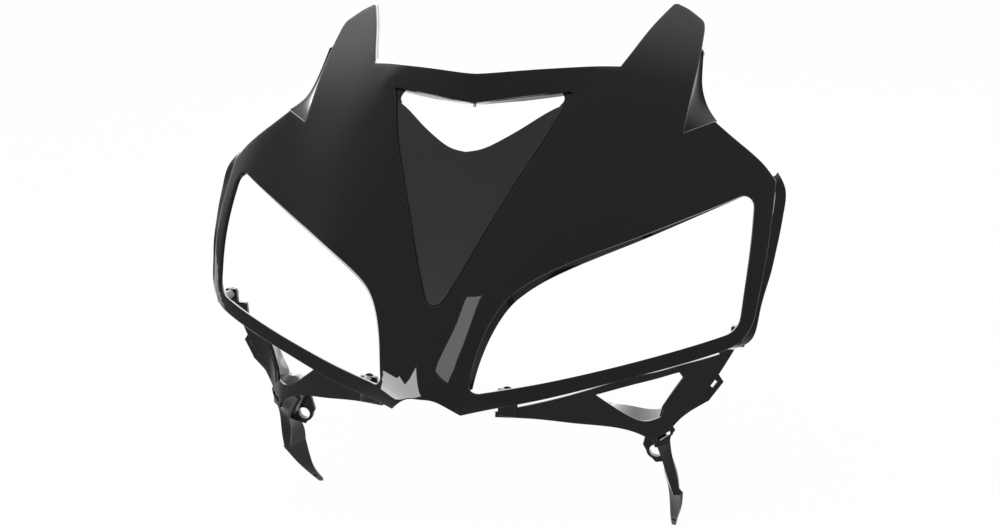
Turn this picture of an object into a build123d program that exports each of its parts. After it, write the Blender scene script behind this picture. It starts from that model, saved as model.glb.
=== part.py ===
"""Front upper fairing of a sports motorbike: a moulded nose cowl with two headlight openings,
a matt centre panel, two lower arms that carry it, and the screws that join them.

X runs across the bike, -Y is forward and +Z is up.  The model is laid out from the middle of the
chin edge and moved at the end, so that the origin is the middle of the two stay bolt holes.
"""

from build123d import *
import os
import numpy as np

# Walls and edges of the mouldings
cowl_wall = 3.0
panel_wall = 2.5
arm_wall = 2.6
flange_wall = 2.2
fit_gap = 0.2

# Headlight opening: how far its moulded flange runs back and turns in, at the nose and outside
flange_back_nose = 11.0
flange_in_nose = 6.5
flange_back_end = 4.5
flange_in_end = 1.5

# Side band of the cowl along the chin: how far it turns down and back
band_out_chin = 1.2
band_back_chin = 5.0

# Ledges behind the horns and the shoulders
horn_flange_back = 8.0
shoulder_ledge_back = 20.0

# Centre panel: its face lies below the skin, and its rim reaches behind the cowl
panel_step = 1.4
panel_rim = 6.0
panel_rim_inner = 2.5

# Lip along the lower edge of the top bar
bar_lip_back = 8.0
bar_lip_drop = 3.0
bar_lip_share = 0.78

# Screws, the bosses of the cowl that take them, and the arms' tabs
screw_radius = 1.75
screw_head_radius = 4.2
screw_head_height = 2.2
screw_length = 8.0
boss_radius = 3.8
panel_boss_radius = 2.8
panel_boss_depth = 17.0
panel_collar_radius = 6.0
tab_wall = 4.0
panel_collar_gap = 0.15
PANEL_BOSSES = [(62, 150), (34, 97)]
ARM_BOSSES = [(52, -6, 34.0), (203, 20.5, 113.0)]

# Grommet holes in the arms for the bolts of the stay
stay_half_spacing = 146.0
stay_back = 110.0
stay_drop = -80.0
stay_hole_radius = 5.0
stay_boss_radius = 7.5
stay_boss_depth = 3.6

# Skin of the cowl: how far back it lies at each height, at stations from the middle to the side
SKIN_STATIONS = [0, 40, 80, 120, 160, 200, 240]
SKIN_SECTIONS = {
    -30: [13, 26, 27, 36, 50, 72, 108],
    0: [0.5, 13.3, 29.5, 45.5, 62, 84, 119],
    30: [17.5, 23, 41, 58, 75.5, 97, 130],
    60: [41, 43, 50.5, 70, 91, 111, 143.5],
    90: [67, 67.5, 68, 90, 112, 133, 166],
    120: [96, 97, 99, 119, 142, 163, 195],
    150: [129, 130, 136, 155, 177, 198, 229],
    180: [165, 166, 175, 195, 217, 239, 270],
    210: [204.5, 207, 219, 241, 265, 287, 317],
    240: [247.5, 252, 268, 293, 318, 341, 371],
}

# Front-view outlines of the right half, as points across and up
CHIN_ARCH = [(0, 0), (9, -0.8), (17, -6), (25.2, -14.9)]
CHIN_EDGE = [(25.2, -14.9), (110, 0.6), (196, 16.2)]
RIM_EDGE = [(196, 16.2), (206, 19.8), (212.5, 27), (216.5, 44), (219.5, 66), (221.5, 90), (222.5, 117)]
SHOULDER_CREST = [(222.5, 117), (214, 127), (203, 136.5), (190, 146), (175, 157)]
HORN_OUTER = [(154, 151.5), (156, 175), (158, 198.4), (158, 213)]
HORN_TOP = [(158, 213), (156.5, 219), (152, 222.8), (143.7, 228.2), (133.5, 233)]
HORN_INNER = [(130.5, 232.8), (118, 219.4), (107.3, 204.1), (101, 195)]
STEP_LINE = [(101, 195), (88, 178), (74.5, 160)]
WINDOW_TIP = (0, 53.5)
WINDOW_TOP = (67.5, 173)
PANEL_TOP = [(80, 173), (68.5, 172.6), (58.2, 169.4), (41.1, 159.8), (23.6, 150.4), (12, 145.6), (0, 143.6)]

OPENING_NOSE = (31.8, 1.5)
OPENING_FOOT = (205.5, 28)
OPENING_TOP = (208.8, 113.5)
OPENING_LOWER = [(80, 6.4), (121.7, 12.5), (163, 20)]
OPENING_OUTER = [(207.6, 56), (209.2, 85)]
OPENING_UPPER = [
    (171, 103.2), (127, 91.2), (99, 84.6), (82, 79.2), (64.5, 70.5),
    (51, 60.2), (42, 46.6), (35.3, 26.4),
]
OPENING_RADII = (7.0, 12.0, 8.0)

# Top bar: its lower and upper edges, from the middle to where it meets the skin
BAR_LOWER = [(0, 146, 174.5), (18, 149, 175.3), (36, 156, 176.2), (53, 163, 176.8)]
BAR_UPPER = [(0, 156.5, 196), (22, 163.5, 196), (46, 175, 196), (68, 187, 196)]
BAR_LOWER_END = [(69, 177), (77, 177)]
BAR_UPPER_END = [(87, 196), (95, 196)]

# Side band of the cowl: its edge on the skin (across, up), and its free edge behind that
BAND_FRONT = [
    (196, 16.2), (203, 18.4), (208.5, 22), (212.5, 29), (215, 38), (216.8, 48),
    (218.7, 60), (220, 72.3), (221.2, 85), (222, 97.6), (222.4, 110), (221.2, 119.5),
]
BAND_REAR = [
    (197.5, 98.5, 12.8), (206, 103.5, 13.8), (213.2, 107.5, 18.5), (216, 110, 26), (217.6, 113.5, 37),
    (219.8, 120.5, 48), (223, 129.5, 59.8), (225.4, 140.4, 72.3), (227.5, 151.8, 85),
    (229.4, 164, 97.6), (229.3, 176, 111), (222.5, 185.5, 121),
]

# Free edge of the hollow between horn and shoulder, from the shoulder up to the horn
HOLLOW_FRONT = [(153.2, 149.8), (154.6, 163), (155.8, 177), (156.8, 190), (157.2, 203)]
HOLLOW_FOOT = (176, 155.5)
HOLLOW_REAR = [(167, 210, 165), (162.5, 219, 175), (160.5, 232, 187), (159.5, 247, 200)]

# Right arm: how far back its face lies at stations across, and how much it leans back with height
ARM_STATIONS = [42, 80, 116, 135, 152, 162, 177, 192, 202]
ARM_BACKS = [30.5, 48, 63, 72.5, 83.5, 92, 100, 104.5, 106]
arm_lean = 0.2
arm_lean_from = -40.0

# Right arm, front view: its lower edge, neck, outer edge and the top edge behind the cowl
ARM_LOWER = [(43.2, -25.1), (70.7, -29.7), (96.3, -35.1), (127.2, -42.1), (141.4, -49.3), (149.6, -56)]
ARM_NECK = [(149.6, -56), (150.5, -60), (159.5, -60), (160, -55), (162.9, -50.5), (161.4, -47.5)]
ARM_OUTER = [(161.4, -47.5), (175.9, -32.6), (190.1, -13.6), (197.4, -0.8), (201.3, 6.6)]
ARM_TOP = [(201.3, 6.6), (170.3, 0.2), (137.8, -3.9), (106.4, -11), (87.9, -15.2), (65.6, -18.8), (43.2, -21.2)]
ARM_WINDOW_TOP = [(109.2, -15.6), (138.1, -10.6), (164, -8.6)]
ARM_WINDOW_OUTER = [(164, -8.6), (166.7, -13.1), (154.5, -31.3), (153.2, -38.2)]
ARM_WINDOW_LOWER = [(153.2, -38.2), (144.4, -39.2), (133.7, -34.6), (121.5, -25.5), (109.2, -15.6)]
ARM_SHELF_FRONT = [(156, -39.6), (146, -41), (135, -36.6), (122.5, -27.6), (110, -17.6)]
ARM_SHELF_REAR = [
    (153.8, 105.3, -40.6), (150.3, 103, -40.7), (145.1, 97.6, -39.1), (138.7, 91.4, -35.8),
    (130.2, 85.1, -31.5), (119.5, 79.1, -27.7), (109.9, 75.6, -23.4),
]
ARM_RETURN_FRONT = [(167.7, -13.7), (161.6, -22.8), (155.6, -31.8), (154.6, -37), (154.3, -41.8)]
ARM_RETURN_REAR = [(168.8, 114.5, -14.5), (165.3, 113, -20), (158.9, 109, -31.2), (154, 106, -38), (152.4, 104.5, -42.6)]
ARM_TAB = [(184, -12), (190.5, -12.5), (194.5, -18.5), (184.8, -32.2), (172, -39.3), (164, -45), (168, -32)]
ARM_TAB_SLOT = [(187.4, -16.4), (190, -18.4), (187, -22.8), (184.6, -20.8)]
arm_tab_step = 2.0
ARM_NECK_SLOT = [(150.8, -53.2), (160, -50.2), (160.6, -53.2), (152.2, -56.4)]

# Right arm: the edges of its web, claw and tail, and the outline of the bracket of the stay boss
WEB_FRONT = [
    (124, 67.8, -37), (133, 71.8, -41.5), (141.5, 76.6, -46), (149, 82, -54),
    (152, 93, -74), (156, 102, -95), (160.5, 104, -112),
]
WEB_BACK = [(125.5, 79, -41), (134, 95, -54), (142, 112, -69), (146, 118, -84), (149, 119, -97), (153, 121, -111)]
CLAW_OUTER = [(159.5, 87.5, -57), (160, 94, -72), (163.2, 100, -92), (165.6, 106.4, -114)]
CLAW_INNER = [(150, 80.2, -58), (152, 93, -75), (155.5, 101.5, -95), (160.5, 104, -113)]
TAIL_OUTER = [(165.6, 106.4, -113), (164, 118, -130), (161, 132, -149), (158, 147, -167)]
TAIL_INNER = [(153, 121, -109), (154.5, 128.8, -131), (154.5, 137, -152), (154.5, 147.5, -167)]
BRACKET = [(136, -76), (140.5, -84), (146, -90), (154, -88), (155.5, -70), (150, -58), (139, -62)]
TAIL_HOLE = (157.2, -157)
tail_hole_radius = 1.5


def spline_through(knots, values, places):
    """The natural cubic spline through values at knots, read at places (values may be rows)."""
    knots = np.asarray(knots, float)
    values = np.asarray(values, float)
    places = np.asarray(places, float)
    step = np.diff(knots)
    count = len(knots)
    system = np.eye(count)
    load = np.zeros_like(values)
    for i in range(1, count - 1):
        system[i, i - 1:i + 2] = step[i - 1], 2 * (step[i - 1] + step[i]), step[i]
        rise = (values[i + 1] - values[i]) / step[i]
        rise_before = (values[i] - values[i - 1]) / step[i - 1]
        load[i] = 6 * (rise - rise_before)
    bend = np.linalg.solve(system, load)
    left = np.clip(np.searchsorted(knots, places) - 1, 0, count - 2)
    span = step[left]
    after = (places - knots[left]) / span
    before = 1 - after
    if values.ndim == 2:
        span, after, before = span[:, None], after[:, None], before[:, None]
    straight = before * values[left] + after * values[left + 1]
    curved = (before ** 3 - before) * bend[left] + (after ** 3 - after) * bend[left + 1]
    return straight + curved * span ** 2 / 6


def skin_back(across, heights):
    """Distance back of the skin, one row for each height and one column for each place across."""
    stations = [-x for x in SKIN_STATIONS[:0:-1]] + SKIN_STATIONS
    rows = np.array([section[:0:-1] + section for section in SKIN_SECTIONS.values()], float)
    along = spline_through(stations, rows.T, across).T
    return spline_through(list(SKIN_SECTIONS), along, heights)


def on_skin(x, z, back=0.0):
    """The point of the skin at x and z, moved back by the given distance."""
    return Vector(x, float(skin_back([x], [z])[0, 0]) + back, z)


def skin_face(first_x, last_x, first_z, last_z, back=0.0, pitch=10.0):
    """The face of the skin over a front-view rectangle, moved back by the given distance."""
    across = np.linspace(first_x, last_x, int((last_x - first_x) / pitch) + 2)
    heights = np.linspace(first_z, last_z, int((last_z - first_z) / pitch) + 2)
    backs = skin_back(across, heights) + back
    rows = [[Vector(x, y, z) for x, y in zip(across, row)] for z, row in zip(heights, backs)]
    return Face.make_surface_from_array_of_points(rows, tol=0.02, min_deg=3, max_deg=5)


def ahead_of_skin(x, z, reach):
    """The space in front of the middle of the skin's wall, round the place at x and z."""
    face = skin_face(x - reach, x + reach, z - reach, z + reach, cowl_wall / 2, reach)
    return Solid.extrude(face, Vector(0, -60, 0))


def strip(first_edge, second_edge, wall):
    """A sheet ruled between two edges, thickened by wall."""
    face = Face.make_surface_from_curves(Edge.make_spline(first_edge), Edge.make_spline(second_edge))
    return Solid.thicken(face, wall)


def front_edge(points):
    """A smooth front-view line through points given as across and up."""
    places = [Vector(x, 0, z) for x, z in points]
    if len(places) == 2:
        return Edge.make_line(*places)
    return Edge.make_spline(places)


def prism(edges, near=-60.0, far=420.0):
    """The body swept straight back from a closed front-view outline."""
    face = Face(Wire(edges))
    return Pos(0, near, 0) * Solid.extrude(face, Vector(0, far - near, 0))


def cowl_outline():
    """The front-view outline of the right half of the skin, without the bar."""
    return prism([
        front_edge(CHIN_ARCH),
        front_edge(CHIN_EDGE),
        front_edge(RIM_EDGE),
        front_edge(SHOULDER_CREST),
        front_edge([SHOULDER_CREST[-1], HORN_OUTER[0]]),
        front_edge(HORN_OUTER),
        front_edge(HORN_TOP),
        front_edge([HORN_TOP[-1], HORN_INNER[0]]),
        front_edge(HORN_INNER),
        front_edge([HORN_INNER[-1], BAR_UPPER_END[0]]),
        front_edge([BAR_UPPER_END[0], WINDOW_TOP]),
        front_edge([WINDOW_TOP, WINDOW_TIP]),
        front_edge([WINDOW_TIP, CHIN_ARCH[0]]),
    ])


def opening_edges():
    """The headlight opening's edges: lower, outer, and the long one over the top and down the nose."""
    lower = front_edge([OPENING_NOSE] + OPENING_LOWER + [OPENING_FOOT])
    outer = front_edge([OPENING_FOOT] + OPENING_OUTER + [OPENING_TOP])
    upper = front_edge([OPENING_TOP] + OPENING_UPPER + [OPENING_NOSE])
    return lower, outer, upper


def opening_prism():
    """The headlight opening run straight back, with its three corners rounded."""
    face = Face(Wire(opening_edges()))
    for corner, radius in zip((OPENING_NOSE, OPENING_FOOT, OPENING_TOP), OPENING_RADII):
        place = Vector(corner[0], 0, corner[1])
        near = min(face.vertices(), key=lambda v: (Vector(v) - place).length)
        face = face.fillet_2d(radius, [near])
    return Pos(0, -60, 0) * Solid.extrude(face, Vector(0, 480, 0))


def edge_places(edge, first, last, count):
    """Places along a front-view edge: across, up, the direction to its left, and the share run."""
    places = []
    for share in np.linspace(0, 1, count):
        at = first + (last - first) * share
        place = edge @ at
        run = edge % at
        places.append((place.X, place.Z, -run.Z, run.X, share))
    return places


def opening_flange():
    """The flange moulded round the upper and nose edges of a headlight opening."""
    upper = opening_edges()[2]
    front, rear = [], []
    for x, z, in_x, in_z, share in edge_places(upper, 0.03, 0.985, 20):
        nose = min(share / 0.55, (1 - share) / 0.3, 1.0)
        back = flange_back_end + (flange_back_nose - flange_back_end) * nose
        turn = flange_in_end + (flange_in_nose - flange_in_end) * nose
        front.append(on_skin(x - 0.9 * in_x, z - 0.9 * in_z, 1.0))
        rear.append(on_skin(x + turn * in_x, z + turn * in_z, back))
    return strip(front, rear, -flange_wall)


def side_band():
    """The band that turns back along the chin and round the outside of the headlight."""
    front, rear = [], []
    for x, z, in_x, in_z, share in edge_places(front_edge(CHIN_EDGE), 0.02, 0.92, 7):
        front.append(on_skin(x + 0.9 * in_x, z + 0.9 * in_z, 1.0))
        rear.append(on_skin(x - band_out_chin * in_x, z - band_out_chin * in_z, band_back_chin))
    for (x, z), free in zip(BAND_FRONT, BAND_REAR):
        front.append(on_skin(x - 0.9, z + 0.3, 1.0))
        rear.append(Vector(*free))
    return strip(front, rear, flange_wall)


def hollow():
    """The hollow side of the horn, which runs out to the rear of the shoulder."""
    front = [on_skin(x - 0.9, z, 1.0) for x, z in HOLLOW_FRONT]
    rear = [on_skin(*HOLLOW_FOOT, 1.5)] + places(HOLLOW_REAR)
    return strip(front, rear, flange_wall)


def edge_ledge(outline, first, last, inset, back, count=6):
    """A flange that runs straight back behind one edge of the skin."""
    front, rear = [], []
    for x, z, in_x, in_z, share in edge_places(front_edge(outline), first, last, count):
        front.append(on_skin(x + inset * in_x, z + inset * in_z, 1.0))
        rear.append(on_skin(x + inset * in_x, z + inset * in_z, back))
    return strip(front, rear, flange_wall)


def bar_half():
    """The right half of the bar over the centre opening, with the lip along its lower edge."""
    lower = places(BAR_LOWER) + [on_skin(x, z, 0.4) for x, z in BAR_LOWER_END]
    upper = places(BAR_UPPER) + [on_skin(x, z, 0.4) for x, z in BAR_UPPER_END]
    edge = Edge.make_spline(lower)
    lip_front = [edge @ share for share in np.linspace(0, bar_lip_share, 6)]
    lip_rear = [place + Vector(0, bar_lip_back, -bar_lip_drop) for place in lip_front]
    return strip(lower, upper, -cowl_wall) + strip(lip_rear, lip_front, -flange_wall)


def rod(x, z, radius, near, far):
    """A round rod along Y."""
    return Pos(x, near, z) * extrude(Plane.XZ * Circle(radius), -(far - near))


def skin_depth(x, z):
    """How far back the face of the skin lies at x and z."""
    return on_skin(x, z).Y


def cowl_half():
    """The right half of the nose cowl."""
    half = Solid.thicken(skin_face(-8, 238, -28, 240), cowl_wall) & cowl_outline()
    half = half - opening_prism()
    parts = [
        opening_flange(),
        side_band(),
        edge_ledge(SHOULDER_CREST, 0.02, 0.98, 0.9, shoulder_ledge_back, 7),
        hollow(),
        edge_ledge(HORN_INNER, 0.03, 0.95, 0.6, horn_flange_back),
        bar_half(),
    ]
    for x, z in PANEL_BOSSES:
        near = skin_depth(x, z)
        boss = rod(x, z, panel_boss_radius, near - 4.0, near + panel_boss_depth)
        parts.append(boss - ahead_of_skin(x, z, 12))
    for x, z, far in ARM_BOSSES:
        boss = rod(x, z, boss_radius, skin_depth(x, z) - 4.0, far)
        parts.append(boss - ahead_of_skin(x, z, 12))
    return half + parts


def boss_holes():
    """The screw holes in the bosses of the right half."""
    holes = []
    for x, z in PANEL_BOSSES:
        far = skin_depth(x, z) + panel_boss_depth
        holes.append(rod(x, z, screw_radius, far - screw_length, far + 1.0))
    for x, z, far in ARM_BOSSES:
        holes.append(rod(x, z, screw_radius, far - screw_length, far + 1.0))
    return holes


def single(shape, name):
    """The one solid of a shape, or an error that names the piece."""
    solids = shape.solids()
    if len(solids) != 1:
        raise ValueError(name + " came out as " + str(len(solids)) + " solids")
    return solids[0]


def mirrored(shape):
    """The same piece on the other side of the bike."""
    return mirror(shape, about=Plane.YZ)


def window_wedge(grow):
    """The V window grown sideways past its edges, with its sides run on upward, as a deep body."""
    top_x, top_z = WINDOW_TOP
    tip_z = WINDOW_TIP[1]
    slope = (top_z - tip_z) / top_x
    low = (0, tip_z - grow * (1 + slope ** 2) ** 0.5)
    high = (1.3 * top_x + grow * (1 + slope ** 2) ** 0.5 / slope, tip_z + 1.3 * (top_z - tip_z))
    left = (-high[0], high[1])
    return prism([front_edge([low, high]), front_edge([high, left]), front_edge([left, low])])


def below_panel_top():
    """Everything below the centre panel's upper edge, as a deep body."""
    right = PANEL_TOP
    left = [(-x, z) for x, z in right[-2::-1]]
    side, foot = right[0][0], 20
    corners = [left[-1], (-side, foot), (side, foot), right[0]]
    sides = [front_edge(pair) for pair in zip(corners, corners[1:])]
    return prism([front_edge(right + left)] + sides)


def centre_panel():
    """The matt panel in the V window: a sunk face, and a rim with screw collars behind the cowl."""
    skin = skin_face(-84, 84, 34, 190)
    face_deep = panel_step + panel_wall
    rim_near = cowl_wall + fit_gap
    cover = Solid.thicken(skin, rim_near)
    face = Solid.thicken(skin, face_deep) - Solid.thicken(skin, panel_step)
    rim = Solid.thicken(skin, rim_near + panel_wall) - cover
    ring = window_wedge(panel_rim) - window_wedge(-panel_rim_inner)
    panel = ((face & window_wedge(-fit_gap)) + (rim & ring)) & below_panel_top()
    for x, z in PANEL_BOSSES:
        near = skin_depth(x, z)
        far = near + panel_boss_depth
        collar = rod(x, z, panel_collar_radius, near - 4.0, far) - cover - ahead_of_skin(x, z, 14)
        hole = rod(x, z, panel_boss_radius + panel_collar_gap, near, far + 1.0)
        panel = panel + collar + mirrored(collar) - hole - mirrored(hole)
    return panel


def box_between(low, high):
    """A box from its lowest corner to its highest."""
    size = [b - a for a, b in zip(low, high)]
    middle = [(a + b) / 2 for a, b in zip(low, high)]
    return Pos(*middle) * Box(*size)


def places(points):
    """Points in space as vectors."""
    return [Vector(*point) for point in points]


def outline_of(corners):
    """Straight front-view edges through the corners and back to the first."""
    return [front_edge(pair) for pair in zip(corners, corners[1:] + corners[:1])]


def on_arm(x, z, back=0.0):
    """The point of the right arm's face at x and z, moved back by the given distance."""
    base = float(spline_through(ARM_STATIONS, ARM_BACKS, [x])[0])
    return Vector(x, base + arm_lean * (z - arm_lean_from) + back, z)


def arm_sheet(back):
    """A wall that follows the right arm's face, moved back by the given distance."""
    rows = []
    for z in (-70, -45, -20, 5, 20):
        rows.append([on_arm(x, z, back) for x in np.linspace(34, 212, 19)])
    face = Face.make_surface_from_array_of_points(rows, tol=0.02, min_deg=3, max_deg=5)
    return Solid.thicken(face, arm_wall)


def right_arm():
    """The right lower arm: face with its window, shelf, tabs, stay boss, claw and tail."""
    neck = [front_edge(pair) for pair in zip(ARM_NECK, ARM_NECK[1:])]
    outline = [front_edge(ARM_LOWER)] + neck + [
        front_edge(ARM_OUTER),
        front_edge(ARM_TOP),
        front_edge([ARM_TOP[-1], ARM_LOWER[0]]),
    ]
    window = [front_edge(ARM_WINDOW_TOP)]
    window += [front_edge(pair) for pair in zip(ARM_WINDOW_OUTER, ARM_WINDOW_OUTER[1:])]
    window.append(front_edge(ARM_WINDOW_LOWER))
    face = (arm_sheet(0.0) & prism(outline)) - prism(window) - prism(outline_of(ARM_NECK_SLOT))
    tab = (arm_sheet(arm_tab_step) & prism(outline_of(ARM_TAB))) - prism(outline_of(ARM_TAB_SLOT))
    shelf_front = [on_arm(x, z, 1.3) for x, z in ARM_SHELF_FRONT]
    return_front = [on_arm(x, z, 1.3) for x, z in ARM_RETURN_FRONT]
    front_x, front_z, front_y = ARM_BOSSES[0]
    foot_x, foot_z, foot_y = ARM_BOSSES[1]
    hole_y = stay_back
    bracket = Face(Wire(outline_of(BRACKET)))
    parts = [
        tab,
        strip(shelf_front, places(ARM_SHELF_REAR), arm_wall),
        strip(return_front, places(ARM_RETURN_REAR), arm_wall),
        strip(places(WEB_FRONT), places(WEB_BACK), arm_wall),
        strip(places(CLAW_OUTER), places(CLAW_INNER), arm_wall),
        strip(places(TAIL_OUTER), places(TAIL_INNER), arm_wall),
        Pos(0, hole_y, 0) * Solid.extrude(bracket, Vector(0, arm_wall, 0)),
        rod(stay_half_spacing, stay_drop, stay_boss_radius, hole_y, hole_y + stay_boss_depth),
        box_between((front_x - 7, front_y, -24), (front_x + 7, front_y + tab_wall, front_z + 4.5)),
        box_between((foot_x - 13, foot_y, 2), (foot_x - 3.6, foot_y + tab_wall, 13)),
        box_between((foot_x - 5, foot_y, 9), (foot_x + 5, foot_y + tab_wall, foot_z + 4)),
    ]
    arm = face + parts
    cuts = [
        rod(stay_half_spacing, stay_drop, stay_hole_radius, hole_y - 20, hole_y + 30),
        rod(front_x, front_z, screw_radius + fit_gap, front_y - 1, front_y + tab_wall + 1),
        rod(foot_x, foot_z, screw_radius + fit_gap, foot_y - 1, foot_y + tab_wall + 1),
        rod(*TAIL_HOLE, tail_hole_radius, 128, 154),
    ]
    return arm - cuts


def screw_at(x, z, seat):
    """A pan-head screw that points forward, its head seated at the given distance back."""
    shank = rod(x, z, screw_radius, seat - screw_length, seat + screw_head_height / 2)
    head = rod(x, z, screw_head_radius, seat, seat + screw_head_height)
    drive = rod(x, z, screw_radius * 0.7, seat + screw_head_height / 2, seat + screw_head_height)
    return shank + head - drive


def main():
    """Builds every piece, moves it to the stay bolt origin and writes it."""
    half = cowl_half() - boss_holes()
    arm = single(right_arm(), "right arm")
    panel_seats = [(x, z, skin_depth(x, z) + panel_boss_depth) for x, z in PANEL_BOSSES]
    arm_seats = [(x, z, far + tab_wall) for x, z, far in ARM_BOSSES]
    pieces = {
        "nose_cowl": single(half + mirrored(half), "nose cowl"),
        "centre_panel": single(centre_panel(), "centre panel"),
        "right_arm": arm,
        "left_arm": mirrored(arm),
        "panel_screws": Compound([screw_at(side * x, z, far) for x, z, far in panel_seats for side in (1, -1)]),
        "arm_screws": Compound([screw_at(side * x, z, far) for x, z, far in arm_seats for side in (1, -1)]),
    }
    os.makedirs("parts", exist_ok=True)
    for name, piece in pieces.items():
        export_step(Pos(0, -stay_back, -stay_drop) * piece, "parts/" + name + ".step")
        print(name, round(piece.volume), piece.is_valid)


if __name__ == "__main__":
    main()
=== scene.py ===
import math
from itertools import product

import bpy
import numpy as np
from mathutils import Matrix, Vector
from mathutils.geometry import delaunay_2d_cdt


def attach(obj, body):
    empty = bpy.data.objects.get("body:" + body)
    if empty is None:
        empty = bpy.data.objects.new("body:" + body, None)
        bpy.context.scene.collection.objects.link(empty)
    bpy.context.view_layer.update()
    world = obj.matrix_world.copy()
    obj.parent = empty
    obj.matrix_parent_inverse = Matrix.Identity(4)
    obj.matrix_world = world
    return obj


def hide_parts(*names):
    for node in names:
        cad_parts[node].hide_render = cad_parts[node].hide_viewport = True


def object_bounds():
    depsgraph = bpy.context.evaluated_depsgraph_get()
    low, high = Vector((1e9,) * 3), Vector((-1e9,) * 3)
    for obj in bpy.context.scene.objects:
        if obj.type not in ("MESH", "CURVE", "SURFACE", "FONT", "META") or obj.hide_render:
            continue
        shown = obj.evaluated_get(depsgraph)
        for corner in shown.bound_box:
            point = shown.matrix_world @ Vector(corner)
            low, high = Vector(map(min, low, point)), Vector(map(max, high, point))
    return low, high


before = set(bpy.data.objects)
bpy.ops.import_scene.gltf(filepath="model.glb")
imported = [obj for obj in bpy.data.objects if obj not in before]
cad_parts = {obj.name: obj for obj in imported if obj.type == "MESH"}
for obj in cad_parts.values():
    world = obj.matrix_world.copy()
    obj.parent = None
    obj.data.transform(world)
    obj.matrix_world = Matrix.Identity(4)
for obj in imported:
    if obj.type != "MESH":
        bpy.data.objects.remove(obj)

bl_info = {
    "name": "Front upper fairing",
    "version": (1, 0, 0),
    "blender": (4, 5, 0),
    "location": "View3D > Sidebar > Fairing",
    "description": "Builds the mouldings, finishes and studio of a motorbike's front upper fairing",
    "category": "Object",
}

CAD_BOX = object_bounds()

# The mouldings are laid out in millimetres from the middle of the chin edge; the part's own frame
# has its origin between the two stay bolt holes
STAY_BACK = 110.0
STAY_DROP = -80.0

# The cowl's smooth face: how far back it lies, for each height at each place across
SKIN_STATIONS = [0, 40, 80, 120, 160, 200, 240]
SKIN_SECTIONS = {
    -30: [13, 26, 27, 36, 50, 72, 108],
    0: [0.5, 13.3, 29.5, 45.5, 62, 84, 119],
    30: [17.5, 23, 41, 58, 75.5, 97, 130],
    60: [41, 43, 50.5, 70, 91, 111, 143.5],
    90: [67, 67.5, 68, 90, 112, 133, 166],
    120: [96, 97, 99, 119, 142, 163, 195],
    150: [129, 130, 136, 155, 177, 198, 229],
    180: [165, 166, 175, 195, 217, 239, 270],
    210: [204.5, 207, 219, 241, 265, 287, 317],
    240: [247.5, 252, 268, 293, 318, 341, 371],
}

# Lines of the right half. Places with two numbers lie on a face, across and up; places with three
# are across, back and up
CHIN_ARCH = [(0, 0), (9, -0.8), (17, -6), (25.2, -14.9)]
CHIN_EDGE = [(25.2, -14.9), (110, 0.6), (196, 16.2)]
RIM_EDGE = [(196, 16.2), (206, 19.8), (212.5, 27), (216.5, 44), (219.5, 66), (221.5, 90), (222.5, 117)]
SHOULDER_CREST = [(222.5, 117), (214, 127), (203, 136.5), (190, 146), (175, 157)]
HORN_OUTER = [(154, 151.5), (156, 175), (158, 198.4), (158, 213)]
HORN_TOP = [(158, 213), (156.5, 219), (152, 222.8), (143.7, 228.2), (133.5, 233)]
HORN_INNER = [(130.5, 232.8), (118, 219.4), (107.3, 204.1), (101, 195)]
WINDOW_TOP = (67.5, 173)
WINDOW_SIDE = [
    (0, 54.5), (2.5, 54.9), (5, 56.1), (7.9, 59.6), (11.4, 66), (15.3, 73), (19.8, 82), (25.5, 93.4),
    (31.4, 105), (37.5, 116.5), (43.8, 128), (50.4, 139.5), (57.2, 151.3), (62.4, 162), (71, 179),
]
PANEL_TOP = [(67.5, 172.8), (58.2, 169.4), (41.1, 159.8), (23.6, 150.4), (12, 145.6), (0, 143.6)]
OPENING_NOSE = (31.8, 1.5)
OPENING_FOOT = (205.5, 28)
OPENING_TOP = (208.8, 113.5)
OPENING_LOWER = [(80, 6.4), (121.7, 12.5), (163, 20)]
OPENING_OUTER = [(207.6, 56), (209.2, 85)]
OPENING_UPPER = [
    (171, 103.2), (127, 91.2), (99, 84.6), (82, 79.2), (64.5, 70.5),
    (51, 60.2), (42, 46.6), (35.3, 26.4),
]
NOSE_RADIUS, FOOT_RADIUS, TOP_RADIUS = 7.0, 12.0, 8.0
BAR_LOWER = [(0, 146, 175), (18, 149.6, 176.6), (36, 156.8, 178.2), (53, 164.2, 179.4)]
BAR_UPPER = [(0, 156.5, 196), (22, 163.5, 196), (46, 175, 196), (68, 187, 196)]
BAR_LOWER_END = (72, 181)
BAR_UPPER_END = (87, 196)
# Where the bar's two lines run out: places across, and how far behind the smooth face they lie
BAR_LOWER_FADE = [(69, 0), (84, 0)]
BAR_UPPER_FADE = [(87, -0.6), (100, 0), (120, 0)]
BAR_RISE = (140.0, 174.0)
CORNER_WEB = [
    (62.5, 179.6), (64.2, 178), (65.2, 176.6), (65.5, 175.2), (65, 173.8), (64, 172.6), (62.6, 171.6),
    (66, 169), (76, 181), (74, 184), (62, 182),
]
BAND_FRONT = [
    (196, 16.2), (203, 18.4), (208.5, 22), (212.5, 29), (215, 38), (216.8, 48),
    (218.7, 60), (220, 72.3), (221.2, 85), (222, 97.6), (222.4, 110), (221.2, 119.5),
]
BAND_REAR = [
    (197.5, 98.5, 12.8), (206, 103.5, 13.8), (213.2, 107.5, 18.5), (216, 110, 26), (217.6, 113.5, 37),
    (219.8, 120.5, 48), (223, 129.5, 59.8), (225.4, 140.4, 72.3), (227.5, 151.8, 85),
    (229.1, 164, 97.6), (228.9, 176, 111), (222.5, 185.5, 121),
]
HOLLOW_FRONT = [(154, 151), (154.6, 163), (155.8, 177), (156.8, 190), (157.2, 203)]
HOLLOW_FOOT = (176, 156.5)
HOLLOW_REAR = [(167, 210, 165), (162.5, 219, 175), (160.5, 232, 187), (159.5, 247, 200)]
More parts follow.
